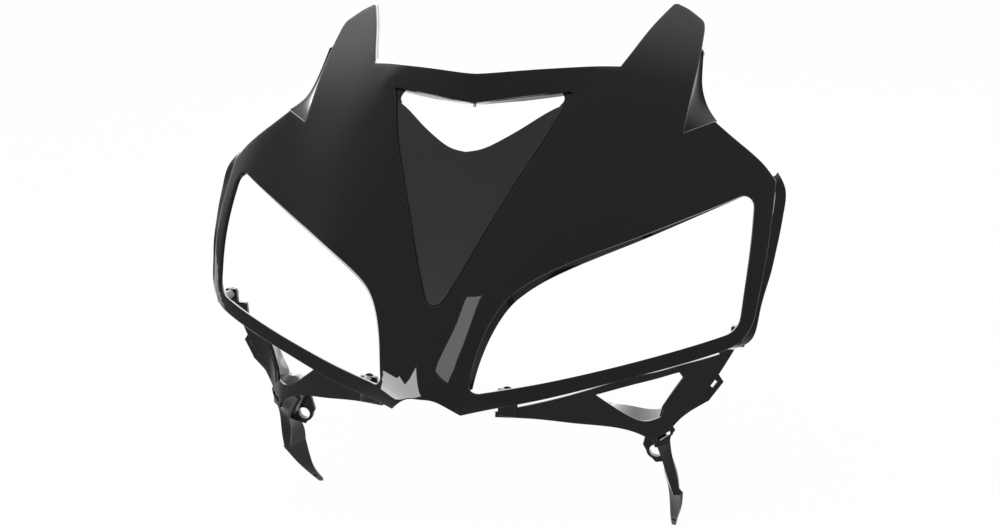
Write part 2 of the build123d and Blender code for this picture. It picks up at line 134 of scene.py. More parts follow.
# The arm's face: how far back it lies at places across, at one level, and how it leans above that
ARM_STATIONS = [42, 80, 116, 135, 152, 162, 177, 192, 202]
ARM_BACKS = [30.5, 48, 63, 72.5, 83.5, 92, 100, 104.5, 106]
ARM_LEVEL = -40
ARM_LEAN = 0.2
ARM_LOWER = [(43.2, -25.1), (70.7, -29.7), (96.3, -35.1), (127.2, -42.1), (141.4, -49.3), (149.6, -56)]
ARM_NECK = [(149.6, -56), (150.5, -60), (159.5, -60), (160, -55), (162.9, -50.5), (161.4, -47.5)]
ARM_OUTER = [(161.4, -47.5), (175.9, -32.6), (190.1, -13.6), (197.4, -0.8), (201.3, 6.6)]
ARM_TOP = [
    (201.3, 6.6), (186, 1), (170.3, -2.6), (155, -4.2), (137.8, -5),
    (106.4, -11), (87.9, -15.2), (65.6, -18.8), (43.2, -21.2),
]
ARM_WINDOW_TOP = [(109.2, -15.6), (138.1, -10.6), (164, -8.6)]
ARM_WINDOW_OUTER = [(164, -8.6), (166.7, -13.1), (154.5, -31.3), (153.2, -38.2)]
ARM_WINDOW_LOWER = [(153.2, -38.2), (144.4, -39.2), (133.7, -34.6), (121.5, -25.5), (109.2, -15.6)]
ARM_SHELF_FRONT = [(156, -39.6), (146, -41), (135, -36.6), (122.5, -27.6), (110, -17.6)]
ARM_SHELF_REAR = [
    (153.8, 105.3, -40.6), (150.3, 103, -40.7), (145.1, 97.6, -39.1), (138.7, 91.4, -35.8),
    (130.2, 85.1, -31.5), (119.5, 79.1, -27.7), (109.9, 75.6, -23.4),
]
ARM_RETURN_FRONT = [(166.3, -13.3), (160.4, -22.5), (154.4, -31.6), (153.3, -37), (153.3, -41.8)]
ARM_RETURN_REAR = [
    (168.8, 114.5, -14.5), (165.3, 113, -20), (158.9, 109, -31.2), (154, 106, -38), (152.4, 104.5, -42.6),
]
ARM_TAB = [(184, -12), (190.5, -12.5), (194.5, -18.5), (184.8, -32.2), (172, -39.3), (164, -45), (168, -32)]
ARM_TAB_SLOT = [(187.4, -16.4), (190, -18.4), (187, -22.8), (184.6, -20.8)]
ARM_NECK_SLOT = [(150.8, -53.2), (160, -50.2), (160.6, -53.2), (152.2, -56.4)]
WEB_FRONT = [
    (124, 67.8, -37), (133, 71.8, -41.5), (141.5, 76.6, -46), (149, 82, -54),
    (152, 93, -74), (156, 102, -95), (160.5, 104, -112),
]
WEB_BACK = [
    (125.5, 79, -41), (134, 95, -54), (142, 107, -66),
    (151.7, 111.5, -80), (151.3, 117, -97), (153, 121, -111),
]
CLAW_OUTER = [(159.5, 87.5, -57), (160, 94, -72), (163.2, 100, -92), (165.6, 106.4, -114)]
CLAW_INNER = [(150, 80.2, -58), (152, 93, -75), (155.5, 101.5, -95), (160.5, 104, -113)]
TAIL_OUTER = [(165.6, 106.4, -113), (164, 118, -130), (161, 132, -149), (158, 147, -167)]
TAIL_INNER = [(153, 121, -109), (154.5, 128.8, -131), (154.5, 137, -152), (154.5, 147.5, -167)]
BRACKET = [(136, -76), (140.5, -84), (146, -90), (154, -88), (155.5, -70), (150, -58), (139, -62)]
# Round holes: across, up and radius
TAIL_HOLE = (157.2, -157, 1.5)
STAY_HOLE = (146, -80, 5.0)

# Lit cards in front of the nose, from pairs of places across their length
NOSE_CARD = [
    ((-18, -61, 215), (-1, -65, 214)), ((-22, -77, 199), (5, -83, 197)),
    ((-26, -92, 183), (10, -102, 179)), ((-26, -104, 171), (17, -118, 161)),
    ((-24, -117, 158), (35, -142, 130)), ((-19, -131, 144), (49, -168, 80)),
]
CHIN_CARD = [
    ((-187, -90, 43), (-192, -42, -85)), ((-173, -102, 51), (-184, -43, -94)),
    ((-156, -115, 58), (-174, -43, -106)), ((-144, -117, 78), (-165, -48, -113)),
    ((-133, -136, 50), (-152, -71, -112)), ((-107, -132, 98), (-124, -122, -89)),
    ((-82, -112, 144), (-51, -181, -13)),
]

# The flat strips beside the window: their width, how far they lie below the face, the heights over
# which they fade in and out, and the cosine of the window edge's slant
STRIP_WIDTH = 9.5
STRIP_DROP = 1.3
STRIP_START = (30.0, 80.0)
STRIP_END = (176.0, 192.0)
STRIP_SLANT = 0.87

# Screw places across and up. The arms' bosses end at a place back, the panel's at one depth behind
# the skin. Radii of bosses, collars and holes, and the thickness of the arms' screw tabs
BOSSES = [(52, -6, 34.0), (203, 20.5, 113.0)]
PANEL_BOSSES = [(62, 150), (34, 97)]
PANEL_SEAT = 17.0
ARM_BOSS, PANEL_BOSS, SCREW_HOLE = 3.8, 2.8, 1.75
COLLAR, COLLAR_HOLE = 6.0, 2.95
SCREW_TAB = 4

# Turns of the rolled edges, from the face to the side, in radians
ROLL_ANGLES = (0.35, 0.75, 1.15, math.pi / 2)

# The flanges' wall, how far behind the face the band starts, how far the shelf's and the return's
# front lines lie behind the arm's face, and the play round the panel
FLANGE_WALL = 2.2
BAND_LEAD = 1.7
SHELF_LEAD = 1.3
PANEL_PLAY = 0.2

# Scales of the plastics' noise, per metre, and heights of their bumps, in metres
CLOUD_SCALE = 18.0
WAVE_SCALE = 14.0
GRAIN_HEIGHT = 0.0002
WAVE_HEIGHT = 0.0006

# The floor, in millimetres; how white the picture shows it, and its share of the lit backdrop's
# brightness in reflections
FLOOR_GAP = 2
FLOOR_REACH = 6000
FLOOR_WHITE = 0.975
FLOOR_SHARE = 0.5

# Soft lamps, in metres and watts: name, size, power and place
LAMPS = [
    ("key_box", (1.6, 1.0), 20, (-0.3, -0.9, 2.2)),
    ("rear_box", (2.4, 1.0), 16, (0.2, 1.6, 1.6)),
]
LAMP_AIM = (0, 0, 0.1)

# The photograph's camera
CAMERA_PLACE = (0.24948, -0.74043, 0.4129)
CAMERA_RIGHT = (0.96073, 0.27555, -0.03281)
CAMERA_DOWN = (0.06104, -0.3252, -0.94367)
CAMERA_AHEAD = (-0.2707, 0.90461, -0.32925)
SENSOR_WIDTH = 36.0
FOCAL_LENGTH = 39.6


# ---- lines and surfaces


def spline_through(knots, values, places):
    """The natural cubic spline through values at knots, read at places."""
    knots = np.asarray(knots, float)
    values = np.asarray(values, float)
    places = np.asarray(places, float)
    step = np.diff(knots)
    count = len(knots)
    system = np.eye(count)
    load = np.zeros_like(values)
    for i in range(1, count - 1):
        system[i, i - 1:i + 2] = step[i - 1], 2 * (step[i - 1] + step[i]), step[i]
        load[i] = 6 * ((values[i + 1] - values[i]) / step[i] - (values[i] - values[i - 1]) / step[i - 1])
    bend = np.linalg.solve(system, load)
    left = np.clip(np.searchsorted(knots, places) - 1, 0, count - 2)
    span = step[left]
    after = (places - knots[left]) / span
    before = 1 - after
    if values.ndim == 2:
        span, after, before = span[:, None], after[:, None], before[:, None]
    straight = before * values[left] + after * values[left + 1]
    curved = (before ** 3 - before) * bend[left] + (after ** 3 - after) * bend[left + 1]
    return straight + curved * span ** 2 / 6


def skin(x, z):
    """How far back the cowl's face lies at places across and up."""
    stations = [-s for s in SKIN_STATIONS[:0:-1]] + SKIN_STATIONS
    rows = np.array([row[:0:-1] + row for row in SKIN_SECTIONS.values()], float)
    across = spline_through(stations, np.eye(len(stations)), np.atleast_1d(x))
    height = spline_through(list(SKIN_SECTIONS), np.eye(len(rows)), np.atleast_1d(z))
    return np.einsum("ni,ij,nj->n", height, rows, across)


def eased(value, low, high):
    """A smooth step from nought at low to one at high."""
    share = np.clip((value - low) / (high - low), 0, 1)
    return share * share * (3 - 2 * share)


def window_strip(x, z):
    """How deep the flat strips beside the V window lie below the cowl's smooth face."""
    across, up = zip(*WINDOW_SIDE[3:])
    side = np.interp(z, up, across)
    edge = STRIP_WIDTH - (np.abs(x) - side) * STRIP_SLANT
    soft = 0.5 * (edge + np.sqrt(edge ** 2 + 1.0)) / STRIP_WIDTH
    return STRIP_DROP * np.minimum(soft, 1.2) * eased(z, *STRIP_START) * (1 - eased(z, *STRIP_END))


def bar_gap(x, z):
    """How far back from the cowl's smooth face the top bar and its ends lie; less than nought is in front."""
    reach = np.abs(x)
    gaps = []
    for line, fade in ((BAR_LOWER, BAR_LOWER_FADE), (BAR_UPPER, BAR_UPPER_FADE)):
        half = [(p[0], p[1] - float(skin(p[0], p[2])[0])) for p in line] + fade
        both = [(-a, b) for a, b in half[:0:-1]] + half
        gaps.append(spline_through(*zip(*both), np.clip(x, both[0][0], both[-1][0])))
    low, top = gaps
    foot = np.interp(reach, *zip(*[(p[0], p[2]) for p in BAR_LOWER], BAR_LOWER_END))
    rise = (z - foot) / (BAR_UPPER_END[1] - foot)
    # The bar's lower edge is crisp over the opening and fades into the face at its ends
    ease = 0.03 + 0.5 * np.clip((reach - 50) / 25, 0, 1)
    rise = np.minimum(0.5 * (rise + np.sqrt(rise ** 2 + ease ** 2)), 1.15)
    return ((1 - rise) * low + rise * top) * eased(z, *BAR_RISE)


def cowl_face(x, z):
    """The cowl's face with the strips beside the V window and the top bar."""
    x, z = np.atleast_1d(x), np.atleast_1d(z)
    return skin(x, z) + window_strip(x, z) + bar_gap(x, z)


def arm_face(x, z):
    """How far back the right arm's face lies."""
    lean = ARM_LEAN * (np.atleast_1d(z) - ARM_LEVEL)
    return spline_through(ARM_STATIONS, ARM_BACKS, np.atleast_1d(x)) + lean


def tail_face(x, z):
    """How far back the right arm's tail lies, between its outer and inner lines."""
    outer, inner = (
        spline_through([-p[2] for p in line], [p[:2] for p in line], -np.atleast_1d(z))
        for line in (TAIL_OUTER, TAIL_INNER)
    )
    share = (outer[:, 0] - x) / np.maximum(outer[:, 0] - inner[:, 0], 1.5)
    return outer[:, 1] + share * (inner[:, 1] - outer[:, 1])


def line_through(points, pitch=2.0):
    """A smooth line through points, as evenly spaced places."""
    points = np.asarray(points, float)
    run = np.concatenate([[0], np.cumsum(np.linalg.norm(np.diff(points, axis=0), axis=1))])
    places = np.linspace(0, run[-1], max(2, int(round(run[-1] / pitch)) + 1))
    if len(points) == 2:
        return points[0] + (points[1] - points[0]) * (places / run[-1])[:, None]
    return spline_through(run, points, places)


def at_share(line, shares):
    """Places along a polyline at shares of its length."""
    run = np.concatenate([[0], np.cumsum(np.linalg.norm(np.diff(line, axis=0), axis=1))])
    shares = np.asarray(shares) * run[-1]
    return np.stack([np.interp(shares, run, line[:, k]) for k in range(line.shape[1])], 1)


def directions(line):
    """Unit directions along a line."""
    run = np.gradient(line, axis=0)
    return run / np.linalg.norm(run, axis=1)[:, None]


def joined(lines):
    """One open line from lines that meet end to end."""
    return np.concatenate([line[:-1] for line in lines[:-1]] + [lines[-1]])


def loop_of(lines):
    """One closed loop from lines that meet end to end."""
    return joined(lines)[:-1]


def straight_lines(corners, pitch=2.0):
    """Straight lines from corner to corner."""
    return [line_through(pair, pitch) for pair in zip(corners, corners[1:])]


def cornered_loop(corners, pitch=2.0):
    """A closed loop of straight lines between corners."""
    return loop_of(straight_lines(corners + corners[:1], pitch))


def arc(centre, radius, angles):
    """Places round a centre at angles."""
    return centre + radius * np.stack([np.cos(angles), np.sin(angles)], 1)


def circle(x, z, radius, sides):
    """A closed round loop."""
    return arc(np.array([x, z]), radius, np.linspace(0, 2 * math.pi, sides, endpoint=False))


def mirrored_loop(half):
    """A closed loop from its right half, whose first and last points lie on the middle line."""
    left = half[-2:0:-1] * [-1, 1]
    return np.concatenate([half, left])


def round_corner(first, second, radius):
    """Two lines that meet in a corner, with the corner rounded in steps of a millimetre."""
    corner = second[0]
    before = first[-4] - corner
    after = second[3] - corner
    before, after = before / np.linalg.norm(before), after / np.linalg.norm(after)
    half = math.acos(float(np.clip(before @ after, -1, 1))) / 2
    reach = radius / math.tan(half)
    first = first[np.linalg.norm(first - corner, axis=1) > reach * 1.02]
    second = second[np.linalg.norm(second - corner, axis=1) > reach * 1.02]
    start, end = corner + before * reach, corner + after * reach
    centre = corner + (before + after) / np.linalg.norm(before + after) * radius / math.sin(half)
    a0 = math.atan2(*(start - centre)[::-1])
    a1 = math.atan2(*(end - centre)[::-1])
    turn = (a1 - a0 + math.pi) % (2 * math.pi) - math.pi
    angles = a0 + turn * np.linspace(0, 1, max(4, int(abs(turn) * radius)))
    return np.concatenate([first, arc(centre, radius, angles)]), second


def opening_lines():
    """The headlight opening's lower, outer and upper lines, in order round the opening."""
    lower = line_through([OPENING_NOSE] + OPENING_LOWER + [OPENING_FOOT])
    outer = line_through([OPENING_FOOT] + OPENING_OUTER + [OPENING_TOP])
    upper = line_through([OPENING_TOP] + OPENING_UPPER + [OPENING_NOSE])
    return lower, outer, upper


def opening_loop():
    """The headlight opening with its three corners rounded."""
    lower, outer, upper = opening_lines()
    lower, outer = round_corner(lower, outer, FOOT_RADIUS)
    outer, upper = round_corner(outer, upper, TOP_RADIUS)
    upper, lower = round_corner(upper, lower, NOSE_RADIUS)
    return np.concatenate([lower, outer, upper])


def resample(loop, pitch):
    """A closed loop with no two points closer than the pitch allows."""
    kept = [loop[0]]
    for point in loop[1:]:
        if np.linalg.norm(point - kept[-1]) > pitch * 0.45:
            kept.append(point)
    if np.linalg.norm(kept[-1] - kept[0]) < pitch * 0.45:
        kept.pop()
    return np.array(kept)


def area_of(loop):
    """Signed area of a closed loop."""
    x, z = loop[:, 0], loop[:, 1]
    return 0.5 * float(np.sum(x * np.roll(z, -1) - np.roll(x, -1) * z))


def outward(loop):
    """Outward direction at each point of a counter-clockwise loop, lengthened at corners."""
    ahead = np.roll(loop, -1, axis=0) - loop
    ahead /= np.linalg.norm(ahead, axis=1)[:, None]
    normal = np.stack([ahead[:, 1], -ahead[:, 0]], 1)
    both = normal + np.roll(normal, 1, axis=0)
    length = np.linalg.norm(both, axis=1)[:, None]
    both = both / np.maximum(length, 1e-6)
    lean = np.maximum(np.sum(both * normal, axis=1), 0.6)
    return both / lean[:, None]


def inside(points, loop):
    """Which points lie inside a closed loop."""
    x, z = points[:, 0][:, None], points[:, 1][:, None]
    ax, az = loop[:, 0], loop[:, 1]
    bx, bz = np.roll(ax, -1), np.roll(az, -1)
    crosses = (az > z) != (bz > z)
    at = ax + (z - az) / np.where(bz == az, 1e-9, bz - az) * (bx - ax)
    return np.sum(crosses & (x < at), axis=1) % 2 == 1


def within(points, loops):
    """Which points lie inside the first loop and outside the others."""
    keep = inside(points, loops[0])
    for loop in loops[1:]:
        keep &= ~inside(points, loop)
    return keep


def on(depth, x, z, back=0.0):
    """A point of a face at x and z, moved back."""
    return np.array([x, float(depth(x, z)[0]) + back, z])


def on_line(depth, line, back=0.0, shift=(0, 0)):
    """Points of a face along a line, shifted across and up and moved back."""
    return [on(depth, x + shift[0], z + shift[1], back) for x, z in line]


def beside(depth, line, aside, back):
    """Points of a face along a line, moved back and aside to the line's right."""
    asides, backs = (np.broadcast_to(value, len(line)) for value in (aside, back))
    return [
        on(depth, x + a * rz, z - a * rx, b)
        for (x, z), (rx, rz), a, b in zip(line, directions(line), asides, backs)
    ]


def across_middle(half):
    """A line in space from its right half, whose first point is on the middle line or next to it."""
    left = half[:0:-1] if half[0][0] == 0 else half[::-1]
    return [point * [-1, 1, 1] for point in left] + half


class Body:
    """Corners and faces collected in millimetres, and made into one mesh object."""

    def __init__(self):
        self.points = []
        self.faces = []

    def add(self, points, faces):
        """Takes in corners, and faces numbered from the first of them."""
        start = self.count()
        self.points.append(np.asarray(points, float))
        self.faces.extend([tuple(start + i for i in face) for face in faces])

    def count(self):
        """How many corners it holds."""
        return sum(len(block) for block in self.points)

    def flipped(self):
        """A new body, mirrored to the other side."""
        other = Body()
        other.add(np.concatenate(self.points) * [-1, 1, 1], [face[::-1] for face in self.faces])
        return other

    def mirror(self):
        """Adds the mirror image of all that it holds."""
        other = self.flipped()
        self.add(other.points[0], other.faces)

    def build(self, name, sharp=48.0):
        """The mesh object in the part's own frame, in metres, with edges past an angle kept sharp."""
        points = (np.concatenate(self.points) - [0, STAY_BACK, STAY_DROP]) / 1000
        mesh = bpy.data.meshes.new(name)
        mesh.from_pydata(points.tolist(), [], self.faces)
        mesh.validate()
        mesh.polygons.foreach_set("use_smooth", [True] * len(mesh.polygons))
        mesh.set_sharp_from_angle(angle=math.radians(sharp))
        piece = bpy.data.objects.new(name, mesh)
        bpy.context.scene.collection.objects.link(piece)
        return piece


def flat_mesh(insets, pitch):
    """Triangles inside the first loop and outside the others, and the corner of each loop point."""
    low, high = insets[0].min(0), insets[0].max(0)
    across, up = np.meshgrid(np.arange(low[0], high[0], pitch), np.arange(low[1], high[1], pitch))
    across[1::2] += pitch / 2
    grid = np.stack([across.ravel(), up.ravel()], 1)
    grid = grid[within(grid, insets)]
    edge = np.concatenate(insets)
    far = np.ones(len(grid), bool)
    for start in range(0, len(grid), 2000):
        gap = np.linalg.norm(grid[start:start + 2000, None] - edge[None], axis=2).min(1)
        far[start:start + 2000] = gap > pitch * 0.55
    flat = np.concatenate([edge, grid[far]])
    edges, start = [], 0
    for inset in insets:
        count = len(inset)
        edges += [(start + i, start + (i + 1) % count) for i in range(count)]
        start += count
    result = delaunay_2d_cdt([Vector(p) for p in flat], edges, [], 0, 1e-5, True)
    flat = np.array([tuple(p) for p in result[0]])
    came_from = {old: new for new, olds in enumerate(result[3]) for old in olds}
    faces = np.array([f for f in result[2] if len(f) == 3])
    faces = faces[within(flat[faces].mean(1), insets)]
    first = flat[faces]
    turn = np.cross(first[:, 1] - first[:, 0], first[:, 2] - first[:, 0])
    faces[turn < 0] = faces[turn < 0][:, ::-1]
    return flat, faces, came_from


def moulding(body, loops, depth, wall, pitch, roll):
    """A wall behind depth(x, z), inside the first loop and outside the others, with rolled edges."""
    insets, outs = [], []
    for index, loop in enumerate(loops):
        loop = resample(np.asarray(loop, float), pitch)
        if (area_of(loop) > 0) != (index == 0):
            loop = loop[::-1]
        outs.append(outward(loop))
        insets.append(loop - outs[-1] * roll)
    flat, faces, came_from = flat_mesh(insets, pitch)
    x, z = flat.T
    step = 0.2
    slope_x = (depth(x + step, z) - depth(x - step, z)) / (2 * step)
    slope_z = (depth(x, z + step) - depth(x, z - step)) / (2 * step)
    normal = np.stack([slope_x, -np.ones(len(flat)), slope_z], 1)
    normal /= np.linalg.norm(normal, axis=1)[:, None]
    front = np.stack([x, depth(x, z), z], 1)
    count = len(front)
    body.add(np.concatenate([front, front - normal * wall]),
             [tuple(f) for f in faces] + [tuple(f[::-1] + count) for f in faces])
    base = body.count() - 2 * count
    start = 0
    for out in outs:
        size = len(out)
        index = [came_from[start + i] for i in range(size)]
        nrm, sx, sz = normal[index], slope_x[index], slope_z[index]
        tangent = np.stack([out[:, 0], sx * out[:, 0] + sz * out[:, 1], out[:, 1]], 1)
        rows = []
        for angle in ROLL_ANGLES:
            out_by, back_by = roll * math.sin(angle), roll * (1 - math.cos(angle))
            rows.append(front[index] + tangent * out_by - nrm * back_by)
        rows.append(front[index] + tangent * roll - nrm * (wall - roll * 0.4))
        rows.append(front[index] + tangent * roll * 0.6 - nrm * wall)
        ring_base = body.count()
        body.add(np.concatenate(rows), [])
        tracks = [[base + i for i in index]]
        tracks += [[ring_base + k * size + i for i in range(size)] for k in range(len(rows))]
        tracks.append([base + count + i for i in index])
        for one, two in zip(tracks, tracks[1:]):
            for i in range(size):
                j = (i + 1) % size
                body.faces.append((one[j], one[i], two[i], two[j]))
        start += size


def ruled(body, first, second, wall, columns, rows=4, swell=0.0):
    """A wall ruled between two lines in space; its seen side passes through the lines."""
    first = at_share(line_through(first, 1.0), np.linspace(0, 1, columns))
    second = at_share(line_through(second, 1.0), np.linspace(0, 1, columns))
    shares = np.linspace(0, 1, rows + 1)
    face = np.array([first * (1 - s) + second * s for s in shares])
    along = np.gradient(face, axis=1)
    down = np.gradient(face, axis=0)
    normal = np.cross(along, down)
    normal /= np.linalg.norm(normal, axis=2)[:, :, None] + 1e-12
    face = face + normal * (swell * 4 * shares * (1 - shares))[:, None, None]
    back = face + normal * wall
    height, width = face.shape[:2]
    count = height * width
    grid = np.arange(count).reshape(height, width)
    quads = np.stack([grid[1:, :-1], grid[1:, 1:], grid[:-1, 1:], grid[:-1, :-1]], 2).reshape(-1, 4)
    faces = [quad for front in quads.tolist() for quad in (front, [i + count for i in front[::-1]])]
    rim = np.concatenate([grid[0], grid[1:, -1], grid[-1, -2::-1], grid[-2:0:-1, 0]]).tolist()
    faces += [(one, two, two + count, one + count) for one, two in zip(rim, rim[1:] + rim[:1])]
    points = np.concatenate([face.reshape(-1, 3), back.reshape(-1, 3)])
    body.add(points, faces if wall > 0 else [face[::-1] for face in faces])


def tube(body, x, z, outer, inner, near, far, sides=48):
    """A round boss along Y, with a hole through it and eased outer edges."""
    ring = circle(0, 0, 1.0, sides)
    bevel = min(0.5, 0.15 * outer)
    profile = [
        (outer - bevel, near), (outer, near + bevel), (outer, far - bevel), (outer - bevel, far),
        (inner, far), (inner, near),
    ]
    points, faces = [], []
    for radius, y in profile:
        points += [(x + radius * c, y, z + radius * s) for c, s in ring]
    count = len(profile)
    for k in range(count):
        for i in range(sides):
            j = (i + 1) % sides
            a, b = k * sides, ((k + 1) % count) * sides
            faces.append((a + i, a + j, b + j, b + i))
    body.add(points, faces)


def block(body, low, high, bevel=0.8):
    """A box with eased edges."""
    low, high = np.asarray(low, float), np.asarray(high, float)
    bevel = min(bevel, *(0.4 * (high - low)))
    points, faces, index = [], [], {}
    for side in product((0, 1), repeat=3):
        upper = np.array(side) == 1
        corner, inward = np.where(upper, high, low), np.where(upper, -bevel, bevel)
        for axis in range(3):
            point = corner + inward
            point[axis] = corner[axis]
            index[(*side, axis)] = len(points)
            points.append(point)
    for axis in range(3):
        u, v = (axis + 1) % 3, (axis + 2) % 3
        for side in (0, 1):
            quad = []
            for du, dv in ((0, 0), (1, 0), (1, 1), (0, 1)):
                key = [0, 0, 0]
                key[axis], key[u], key[v] = side, du, dv
                quad.append(index[(*key, axis)])
            faces.append(tuple(quad if side else quad[::-1]))
        for du, dv in product((0, 1), repeat=2):
            near, far = [0, 0, 0], [0, 0, 0]
            near[axis], far[axis] = 0, 1
            for key in (near, far):
                key[u], key[v] = du, dv
            quad = [index[(*near, u)], index[(*far, u)], index[(*far, v)], index[(*near, v)]]
            faces.append(tuple(quad if du == dv else quad[::-1]))
    for side in product((0, 1), repeat=3):
        tri = [index[(*side, axis)] for axis in range(3)]
        faces.append(tuple(tri if sum(side) % 2 else tri[::-1]))
    body.add(points, faces)


# ---- finishes


def feed(tree, made, inputs):
    """Gives a node's inputs, by name or number, a value or a link each."""
    for key, value in inputs.items():
        if isinstance(value, bpy.types.NodeSocket):
            tree.links.new(value, made.inputs[key])
        else:
            made.inputs[key].default_value = value


def new_node(tree, kind, out, inputs, **settings):
    """Makes a shader node, feeds it and returns one of its outputs."""
    made = tree.nodes.new("ShaderNode" + kind)
    for key, value in settings.items():
        setattr(made, key, value)
    feed(tree, made, inputs)
    return made.outputs[out]


def spread(tree, value, low, high, start=0.0, end=1.0):
    """A value that runs from low to high while the given one runs from start to end."""
    limits = {"From Min": start, "From Max": end, "To Min": low, "To Max": high}
    return new_node(tree, "MapRange", "Result", {"Value": value, **limits})


def ramp_up(tree, value, low, high):
    """A smooth step from nought at low to one at high."""
    limits = {"From Min": low, "From Max": high}
    return new_node(tree, "MapRange", "Result", {"Value": value, **limits}, interpolation_type="SMOOTHSTEP")


def new_material(name):
    """An empty node material."""
    material = bpy.data.materials.new(name)
    material.use_nodes = True
    material.node_tree.nodes.clear()
    return material, material.node_tree


def show(tree, surface):
    """Links a finished surface to its material's output."""
    feed(tree, tree.nodes.new("ShaderNodeOutputMaterial"), {"Surface": surface})


def moulded_finish(name, color, rough, rough_spread, level, grain, grain_scale, wave=0.0):
    """Moulded plastic: a slightly uneven gloss, and grain or a faint flow wave in its surface."""
    material, tree = new_material(name)
    place = new_node(tree, "TexCoord", "Object", {})
    cloud = new_node(tree, "TexNoise", "Fac", {"Vector": place, "Scale": CLOUD_SCALE, "Detail": 4.0})
    dark, light = ((*[c * share for c in color], 1) for share in (0.85, 1.15))
    tint = new_node(tree, "Mix", "Result", {"Factor": cloud, "A": dark, "B": light}, data_type="RGBA")
    fine = new_node(tree, "TexNoise", "Fac", {"Vector": place, "Scale": grain_scale})
    normal = new_node(tree, "Bump", "Normal", {"Height": fine, "Strength": grain, "Distance": GRAIN_HEIGHT})
    if wave:
        slow = new_node(tree, "TexNoise", "Fac", {"Vector": place, "Scale": WAVE_SCALE})
        under = {"Height": slow, "Normal": normal}
        normal = new_node(tree, "Bump", "Normal", {**under, "Strength": wave, "Distance": WAVE_HEIGHT})
    show(tree, new_node(tree, "BsdfPrincipled", "BSDF", {
        "Base Color": tint,
        "Roughness": spread(tree, cloud, rough - rough_spread, rough + rough_spread, 0.3, 0.7),
        "Specular IOR Level": level,
        "Normal": normal,
    }))
    return material


def screw_finish(name):
    """Zinc-plated steel with a faint brushed grain."""
    material, tree = new_material(name)
    place = new_node(tree, "TexCoord", "Object", {})
    grain = new_node(tree, "TexNoise", "Fac", {"Vector": place, "Scale": 900.0})
    show(tree, new_node(tree, "BsdfPrincipled", "BSDF", {
        "Base Color": (0.35, 0.35, 0.36, 1),
        "Metallic": 1.0,
        "Roughness": spread(tree, grain, 0.25, 0.45),
    }))
    return material


def finish_for(key):
    """The finish of one kind of piece, made once."""
    looks = bpy.context.scene.fairing_looks
    name = key + "_finish"
    made = bpy.data.materials.get(name)
    if made:
        return made
    if key == "gloss_black":
        return moulded_finish(
            name, looks.gloss_color, looks.gloss_roughness, rough_spread=0.006, level=looks.gloss_level,
            grain=0.0, grain_scale=900.0, wave=0.02,
        )
    if key == "matt_black":
        return moulded_finish(
            name, looks.matt_color, rough=0.62, rough_spread=0.03, level=0.4, grain=0.5, grain_scale=1500.0,
        )
    if key == "satin_black":
        return moulded_finish(
            name, looks.satin_color, rough=0.1, rough_spread=0.02, level=0.5,
            grain=0.03, grain_scale=1100.0, wave=0.05,
        )
    return screw_finish(name)


def place_piece(body, name, key, node=None, sharp=48.0):
    """Makes the mesh of a piece, gives it its finish and hangs it on the part."""
    piece = body.build(name, sharp)
    piece.data.materials.append(finish_for(key))
    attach(piece, "root")
    if node:
        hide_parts(node)


# ---- settings


class FairingSizes(bpy.types.PropertyGroup):
    """Wall sizes of the mouldings."""

    cowl_wall: bpy.props.FloatProperty(
        name="Cowl wall", description="Wall of the cowl, in mm", default=3.0, min=1.5, max=6.0)
    panel_wall: bpy.props.FloatProperty(
        name="Panel wall", description="Wall of the centre panel, in mm", default=2.5, min=1.0, max=5.0)
    arm_wall: bpy.props.FloatProperty(
        name="Arm wall", description="Wall of the arms, in mm", default=2.6, min=1.0, max=5.0)
    panel_step: bpy.props.FloatProperty(
        name="Panel step", description="How far the panel lies below the cowl, in mm",
        default=1.4, min=0.0, max=4.0)


class FairingLooks(bpy.types.PropertyGroup):
    """Colours and light."""

    gloss_color: bpy.props.FloatVectorProperty(
        name="Cowl colour", description="Colour of the gloss cowl",
        subtype="COLOR", size=3, default=(0.007, 0.007, 0.0074))
    gloss_roughness: bpy.props.FloatProperty(
        name="Cowl roughness", description="Roughness of the gloss cowl",
        default=0.03, min=0.01, max=1.0, subtype="FACTOR")
    gloss_level: bpy.props.FloatProperty(
        name="Cowl specular", description="Strength of the cowl's reflections",
        default=0.5, min=0.0, max=1.0, subtype="FACTOR")
    matt_color: bpy.props.FloatVectorProperty(
        name="Panel colour", description="Colour of the matt panel",
        subtype="COLOR", size=3, default=(0.02, 0.02, 0.0205))
    satin_color: bpy.props.FloatVectorProperty(
        name="Arm colour", description="Colour of the arms",
        subtype="COLOR", size=3, default=(0.012, 0.012, 0.0125))
    light_level: bpy.props.FloatProperty(
        name="Light level", description="Strength of the studio lamps", default=1.0, min=0.1, max=4.0)
    fill_level: bpy.props.FloatProperty(
        name="Fill level", description="Strength of the even light from all round",
        default=0.55, min=0.0, max=2.0)
    room_level: bpy.props.FloatProperty(
        name="Room level", description="Brightness of the room in front, as gloss surfaces show it",
        default=0.28, min=0.0, max=1.0)
    backdrop_level: bpy.props.FloatProperty(
        name="Backdrop level", description="Brightness of the lit backdrop, as gloss surfaces show it",
        default=3.8, min=1.0, max=8.0)
    box_level: bpy.props.FloatProperty(
        name="Nose card level", description="Brightness of the card that shows on the nose",
        default=3.0, min=0.0, max=20.0)
    chin_level: bpy.props.FloatProperty(
        name="Chin card level", description="Brightness of the card that shows at the chin",
        default=9.0, min=0.0, max=20.0)


# ---- pieces


def window_loop():
    """The V window and the centre opening over it, as one hole."""
    bar = line_through([(x, z) for x, y, z in BAR_LOWER] + [BAR_LOWER_END], 1.0)
    side = line_through(WINDOW_SIDE, 1.0)
    return mirrored_loop(joined([side, line_through([WINDOW_SIDE[-1], bar[-1]], 1.0), bar[::-1]]))


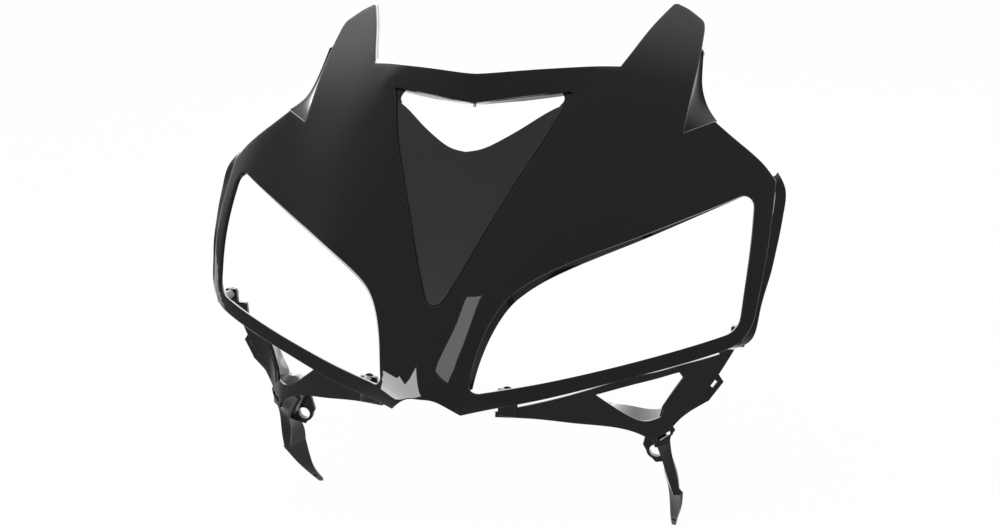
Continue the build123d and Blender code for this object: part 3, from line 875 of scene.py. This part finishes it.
def cowl_loop():
    """The cowl's outer line, round both halves and along the top of the bar."""
    lines = (
        CHIN_ARCH, CHIN_EDGE, RIM_EDGE, SHOULDER_CREST, (SHOULDER_CREST[-1], HORN_OUTER[0]),
        HORN_OUTER, HORN_TOP, (HORN_TOP[-1], HORN_INNER[0]), HORN_INNER,
        (HORN_INNER[-1], BAR_UPPER_END, (0, BAR_UPPER_END[1])),
    )
    return mirrored_loop(joined([line_through(line) for line in lines]))


class OBJECT_OT_fairing_cowl(bpy.types.Operator):
    """Builds the gloss skin of the nose cowl with its two headlight openings"""

    bl_idname = "object.fairing_cowl"
    bl_label = "Cowl skin"

    def execute(self, context):
        sizes = context.scene.fairing_sizes
        opening = opening_loop()
        loops = [cowl_loop(), opening, opening * [-1, 1], window_loop()]
        body = Body()
        moulding(body, loops, cowl_face, sizes.cowl_wall, pitch=2.5, roll=1.1)
        place_piece(body, "cowl_skin", "gloss_black", "nose_cowl")
        return {"FINISHED"}


class OBJECT_OT_fairing_flanges(bpy.types.Operator):
    """Builds the flanges, bands, ledges and hollows behind the cowl's edges"""

    bl_idname = "object.fairing_flanges"
    bl_label = "Cowl flanges"

    def execute(self, context):
        body = Body()
        # The ledge over the headlight is deepest between its two ends
        brow = at_share(opening_lines()[2], np.linspace(0.03, 0.985, 70))
        share = np.linspace(0, 1, len(brow))
        full = np.minimum(np.minimum(share / 0.55, (1 - share) / 0.3), 1.0)
        rear = beside(skin, brow, -(1.5 + 5.0 * full), 4.5 + 6.5 * full)
        ruled(body, beside(skin, brow, 0.9, 1.0), rear, -FLANGE_WALL, 110)
        # One band runs behind the chin edge and on behind the rim
        chin = at_share(line_through(CHIN_EDGE), np.linspace(0.02, 0.92, 9))
        front = beside(skin, chin, -0.2, BAND_LEAD) + on_line(skin, BAND_FRONT, BAND_LEAD, (-0.3, 0.15))
        ruled(body, front, beside(skin, chin, 1.2, 5.0) + list(BAND_REAR), FLANGE_WALL, 220)
        crest = at_share(line_through(SHOULDER_CREST), np.linspace(0.02, 0.98, 9))
        front, rear = (on_line(skin, crest, back, (-0.5, -0.6)) for back in (1.0, 20.0))
        ruled(body, front, rear, FLANGE_WALL, 40)
        inner = at_share(line_through(HORN_INNER), np.linspace(0.03, 0.95, 7))
        front, rear = (on_line(skin, inner, back, (0.4, -0.5)) for back in (1.0, 8.0))
        ruled(body, front, rear, FLANGE_WALL, 30)
        front = on_line(skin, HOLLOW_FRONT, 0.6, (-0.3, 0))
        rear = [on(skin, *HOLLOW_FOOT, 1.0)] + HOLLOW_REAR
        ruled(body, front, rear, FLANGE_WALL, 40, rows=8, swell=1.0)
        for x, z, far in BOSSES:
            tube(body, x, z, ARM_BOSS, SCREW_HOLE, on(skin, x, z, 2.5)[1], far)
        for x, z in PANEL_BOSSES:
            tube(body, x, z, PANEL_BOSS, SCREW_HOLE, on(skin, x, z, 4.0)[1], on(skin, x, z, PANEL_SEAT)[1])
        body.mirror()
        place_piece(body, "cowl_flanges", "gloss_black", sharp=35.0)
        return {"FINISHED"}


class OBJECT_OT_fairing_bar(bpy.types.Operator):
    """Builds the bar over the centre opening"""

    bl_idname = "object.fairing_bar"
    bl_label = "Top bar"

    def execute(self, context):
        body = Body()
        lower = across_middle([np.array(p, float) for p in BAR_LOWER] + [on(cowl_face, *BAR_LOWER_END, 0.1)])
        line = at_share(line_through(lower, 1.0), np.linspace(0.03, 0.97, 60)) + [0, 1.2, 0.6]
        drop = -2.6 - 2.0 * np.minimum(np.abs(line[:, 0]) / 35, 1)
        ruled(body, line + np.stack([0 * drop, 0 * drop + 6.5, drop], 1), line, -1.6, 120)
        web = cornered_loop(CORNER_WEB, 0.8)
        for side in (1, -1):
            moulding(body, [web * [side, 1]], lambda x, z: cowl_face(x, z) + 3.4, 1.2, 2.0, 0.3)
        block(body, (-1.0, 150.5, 171.4), (1.0, 152.5, 174.0), 0.3)
        place_piece(body, "cowl_bar", "gloss_black", sharp=35.0)
        return {"FINISHED"}


class OBJECT_OT_fairing_panel(bpy.types.Operator):
    """Builds the matt centre panel in the V window"""

    bl_idname = "object.fairing_panel"
    bl_label = "Centre panel"

    def execute(self, context):
        sizes = context.scene.fairing_sizes
        body = Body()

        def panel_face(x, z):
            return skin(x, z) + STRIP_DROP * eased(z, *STRIP_START) + sizes.panel_step

        side = line_through(WINDOW_SIDE) - [PANEL_PLAY, 0]
        side[0, 0] = 0
        top = line_through([(WINDOW_TOP[0] - PANEL_PLAY, WINDOW_TOP[1])] + PANEL_TOP[1:])
        loop = mirrored_loop(joined([side, top]))
        moulding(body, [loop], panel_face, sizes.panel_wall, pitch=3.0, roll=0.5)
        # A thin rim behind the V's edge keeps light out of the gap
        rim = line_through(WINDOW_SIDE[1:-1] + [(67, 171.2)])
        inner, outer = (across_middle(beside(panel_face, rim, aside, 1.75)) for aside in (-1.5, 5.0))
        ruled(body, inner, outer, 0.7, 160, 2)
        for x, z in PANEL_BOSSES:
            for side in (1, -1):
                near, far = on(skin, x, z, 9.0)[1], on(skin, x, z, PANEL_SEAT)[1]
                tube(body, side * x, z, COLLAR, COLLAR_HOLE, near, far)
        place_piece(body, "v_panel", "matt_black", "centre_panel")
        return {"FINISHED"}


def arm_body(wall):
    """The right arm's walls, shelf, tabs, stay boss, claw and tail."""
    body = Body()
    outline = loop_of([
        line_through(ARM_LOWER), *straight_lines(ARM_NECK), line_through(ARM_OUTER), line_through(ARM_TOP),
        line_through([ARM_TOP[-1], ARM_LOWER[0]]),
    ])
    window = loop_of([
        line_through(ARM_WINDOW_TOP), *straight_lines(ARM_WINDOW_OUTER), line_through(ARM_WINDOW_LOWER),
    ])
    moulding(body, [outline, window, cornered_loop(ARM_NECK_SLOT, 1.0)], arm_face, wall, 2.0, 0.5)
    tab = [cornered_loop(ARM_TAB, 1.5), cornered_loop(ARM_TAB_SLOT, 1.0)]
    moulding(body, tab, lambda x, z: arm_face(x, z) + 2.0, wall, 2.0, 0.4)
    ruled(body, on_line(arm_face, ARM_SHELF_FRONT, SHELF_LEAD), ARM_SHELF_REAR, wall, 40)
    ruled(body, on_line(arm_face, ARM_RETURN_FRONT, SHELF_LEAD), ARM_RETURN_REAR, wall, 30)
    ruled(body, WEB_FRONT, WEB_BACK, wall, 60, rows=6)
    ruled(body, CLAW_OUTER, CLAW_INNER, wall, 50)
    rim = np.concatenate([line_through(TAIL_OUTER), line_through(TAIL_INNER)[::-1]])[:, [0, 2]]
    moulding(body, [rim, circle(*TAIL_HOLE, 20)], tail_face, wall, 1.5, 0.3)
    plate = [cornered_loop(BRACKET), circle(*STAY_HOLE, 28)]
    moulding(body, plate, lambda x, z: np.full(len(x), STAY_BACK), wall, 2.0, 0.3)
    x, z, radius = STAY_HOLE
    tube(body, x, z, radius + 2.5, radius, STAY_BACK - 0.2, STAY_BACK + 3.6)
    (front_x, front_z, front_y), (foot_x, foot_z, foot_y) = BOSSES
    block(body, (front_x - 7, front_y, -24), (front_x + 7, front_y + SCREW_TAB, front_z + 2.8))
    block(body, (foot_x - 13, foot_y, 2), (foot_x - 3.6, foot_y + SCREW_TAB, 13))
    block(body, (foot_x - 5, foot_y, 9), (foot_x + 5, foot_y + SCREW_TAB, foot_z + 4))
    return body


class OBJECT_OT_fairing_arms(bpy.types.Operator):
    """Builds the two lower arms"""

    bl_idname = "object.fairing_arms"
    bl_label = "Lower arms"

    def execute(self, context):
        body = arm_body(context.scene.fairing_sizes.arm_wall)
        place_piece(body, "right_arm_wall", "satin_black", "right_arm", 35.0)
        place_piece(body.flipped(), "left_arm_wall", "satin_black", "left_arm", 35.0)
        return {"FINISHED"}


class OBJECT_OT_fairing_screws(bpy.types.Operator):
    """Gives the screws their finish"""

    bl_idname = "object.fairing_screws"
    bl_label = "Screws"

    def execute(self, context):
        for name in ("panel_screws", "arm_screws"):
            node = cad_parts[name]
            node.data.materials.clear()
            node.data.materials.append(finish_for("screw_steel"))
        return {"FINISHED"}


# ---- studio


def area_lamp(name, size, power, place):
    """A soft lamp that points at the part and doesn't show in gloss surfaces."""
    lamp = bpy.data.lights.new(name, "AREA")
    lamp.shape = "RECTANGLE"
    lamp.size, lamp.size_y = size
    lamp.energy = power
    thing = bpy.data.objects.new(name, lamp)
    thing.location = place
    thing.rotation_euler = (Vector(LAMP_AIM) - Vector(place)).to_track_quat("-Z", "Y").to_euler()
    thing.visible_glossy = False
    bpy.context.scene.collection.objects.link(thing)


def ray_kinds(tree):
    """One where a ray comes from the camera or through glass, and one where it comes off gloss."""
    path = tree.nodes.new("ShaderNodeLightPath").outputs
    both = {0: path["Is Camera Ray"], 1: path["Is Transmission Ray"]}
    return new_node(tree, "Math", 0, both, operation="MAXIMUM"), path["Is Glossy Ray"]


def floor_finish(looks):
    """White paper that keeps the object's shadow and is white in the picture and in reflections."""
    material, tree = new_material("pale_floor")
    direct, glossy = ray_kinds(tree)
    place = new_node(tree, "TexCoord", "Object", {})
    behind = ramp_up(tree, new_node(tree, "SeparateXYZ", "Y", {"Vector": place}), -0.05, 0.3)
    level = spread(tree, behind, looks.room_level, FLOOR_SHARE * looks.backdrop_level)
    strength = new_node(tree, "Mix", "Result", {"Factor": glossy, "A": 1.0, "B": level})
    glow = new_node(tree, "Emission", "Emission", {"Strength": strength})
    paper = new_node(tree, "BsdfPrincipled", "BSDF", {"Base Color": (0.9, 0.9, 0.9, 1), "Roughness": 0.8})
    seen = new_node(tree, "Math", 0, {0: direct, 1: FLOOR_WHITE}, operation="MULTIPLY")
    amount = new_node(tree, "Math", 0, {0: seen, 1: glossy}, operation="MAXIMUM")
    show(tree, new_node(tree, "MixShader", "Shader", {"Fac": amount, 1: paper, 2: glow}))
    return material


def card_finish(name, level):
    """The diffuser of a lit card."""
    material, tree = new_material(name)
    show(tree, new_node(tree, "BsdfPrincipled", "BSDF", {
        "Base Color": (0, 0, 0, 1),
        "Emission Color": (1, 1, 1, 1),
        "Emission Strength": level,
    }))
    return material


def reflector(name, strip, level):
    """A lit card, from pairs of places, that only gloss surfaces show."""
    body = Body()
    places = [place for pair in strip for place in pair]
    body.add(places, [(i, i + 1, i + 3, i + 2) for i in range(0, len(places) - 2, 2)])
    card = body.build(name)
    card.data.materials.append(card_finish(name + "_light", level))
    card.visible_camera = card.visible_diffuse = card.visible_shadow = card.visible_transmission = False


def studio_world(looks):
    """White backdrop behind the object; a dim room in front of it and over it."""
    world = bpy.data.worlds.new("studio")
    world.use_nodes = True
    tree = world.node_tree
    tree.nodes.clear()
    direct, glossy = ray_kinds(tree)
    place = new_node(tree, "TexCoord", "Generated", {})
    back = new_node(tree, "SeparateXYZ", "Y", {"Vector": place})
    room = spread(tree, ramp_up(tree, back, 0.18, 0.5), looks.room_level, 1.0)
    lit = spread(tree, ramp_up(tree, back, 0.5, 0.8), 0.0, looks.backdrop_level - 1)
    shown = new_node(tree, "Math", 0, {0: room, 1: lit}, operation="ADD")
    strength = new_node(tree, "Mix", "Result", {"Factor": glossy, "A": looks.fill_level, "B": shown})
    seen = new_node(tree, "Mix", "Result", {"Factor": direct, "A": strength, "B": 1.0})
    glow = new_node(tree, "Background", "Background", {"Color": (1, 1, 1, 1), "Strength": seen})
    feed(tree, tree.nodes.new("ShaderNodeOutputWorld"), {"Surface": glow})
    return world


class OBJECT_OT_fairing_stage(bpy.types.Operator):
    """Sets up the floor, the lamps, the world and the camera"""

    bl_idname = "object.fairing_stage"
    bl_label = "Studio"

    def execute(self, context):
        scene = context.scene
        looks = scene.fairing_looks
        scene.view_settings.view_transform = "Standard"
        body = Body()
        level = CAD_BOX[0][2] * 1000 - FLOOR_GAP + STAY_DROP
        corners = [(x * FLOOR_REACH, y * FLOOR_REACH, level) for x, y in ((-1, -1), (1, -1), (1, 1), (-1, 1))]
        body.add(corners, [(0, 1, 2, 3)])
        floor = body.build("floor")
        floor.data.materials.append(floor_finish(looks))
        reflector("nose_card", NOSE_CARD, looks.box_level)
        reflector("chin_card", CHIN_CARD, looks.chin_level)
        scene.world = studio_world(looks)
        for name, size, power, place in LAMPS:
            area_lamp(name, size, power * looks.light_level, place)
        camera = bpy.data.cameras.new("camera")
        camera.sensor_width = SENSOR_WIDTH
        camera.lens = FOCAL_LENGTH
        camera.clip_start = 0.01
        eye = bpy.data.objects.new("camera", camera)
        turn = Matrix((Vector(CAMERA_RIGHT), -Vector(CAMERA_DOWN), -Vector(CAMERA_AHEAD))).transposed()
        eye.matrix_world = Matrix.Translation(CAMERA_PLACE) @ turn.to_4x4()
        scene.collection.objects.link(eye)
        scene.camera = eye
        return {"FINISHED"}


class VIEW3D_PT_fairing(bpy.types.Panel):
    """Sidebar panel of the fairing"""

    bl_label = "Front upper fairing"
    bl_space_type = "VIEW_3D"
    bl_region_type = "UI"
    bl_category = "Fairing"

    def draw(self, context):
        layout = self.layout
        for group in (context.scene.fairing_sizes, context.scene.fairing_looks):
            for key in group.__annotations__:
                layout.prop(group, key)
        for operator in OPERATORS:
            layout.operator(operator.bl_idname)


OPERATORS = (
    OBJECT_OT_fairing_cowl,
    OBJECT_OT_fairing_flanges,
    OBJECT_OT_fairing_bar,
    OBJECT_OT_fairing_panel,
    OBJECT_OT_fairing_arms,
    OBJECT_OT_fairing_screws,
    OBJECT_OT_fairing_stage,
)
CLASSES = (FairingSizes, FairingLooks) + OPERATORS + (VIEW3D_PT_fairing,)


def register():
    for cls in CLASSES:
        bpy.utils.register_class(cls)
    bpy.types.Scene.fairing_sizes = bpy.props.PointerProperty(type=FairingSizes)
    bpy.types.Scene.fairing_looks = bpy.props.PointerProperty(type=FairingLooks)


def unregister():
    del bpy.types.Scene.fairing_looks
    del bpy.types.Scene.fairing_sizes
    for cls in reversed(CLASSES):
        bpy.utils.unregister_class(cls)


def main():
    register()
    for operator in OPERATORS:
        group, name = operator.bl_idname.split(".")
        getattr(getattr(bpy.ops, group), name)()


if __name__ == "__main__":
    main()
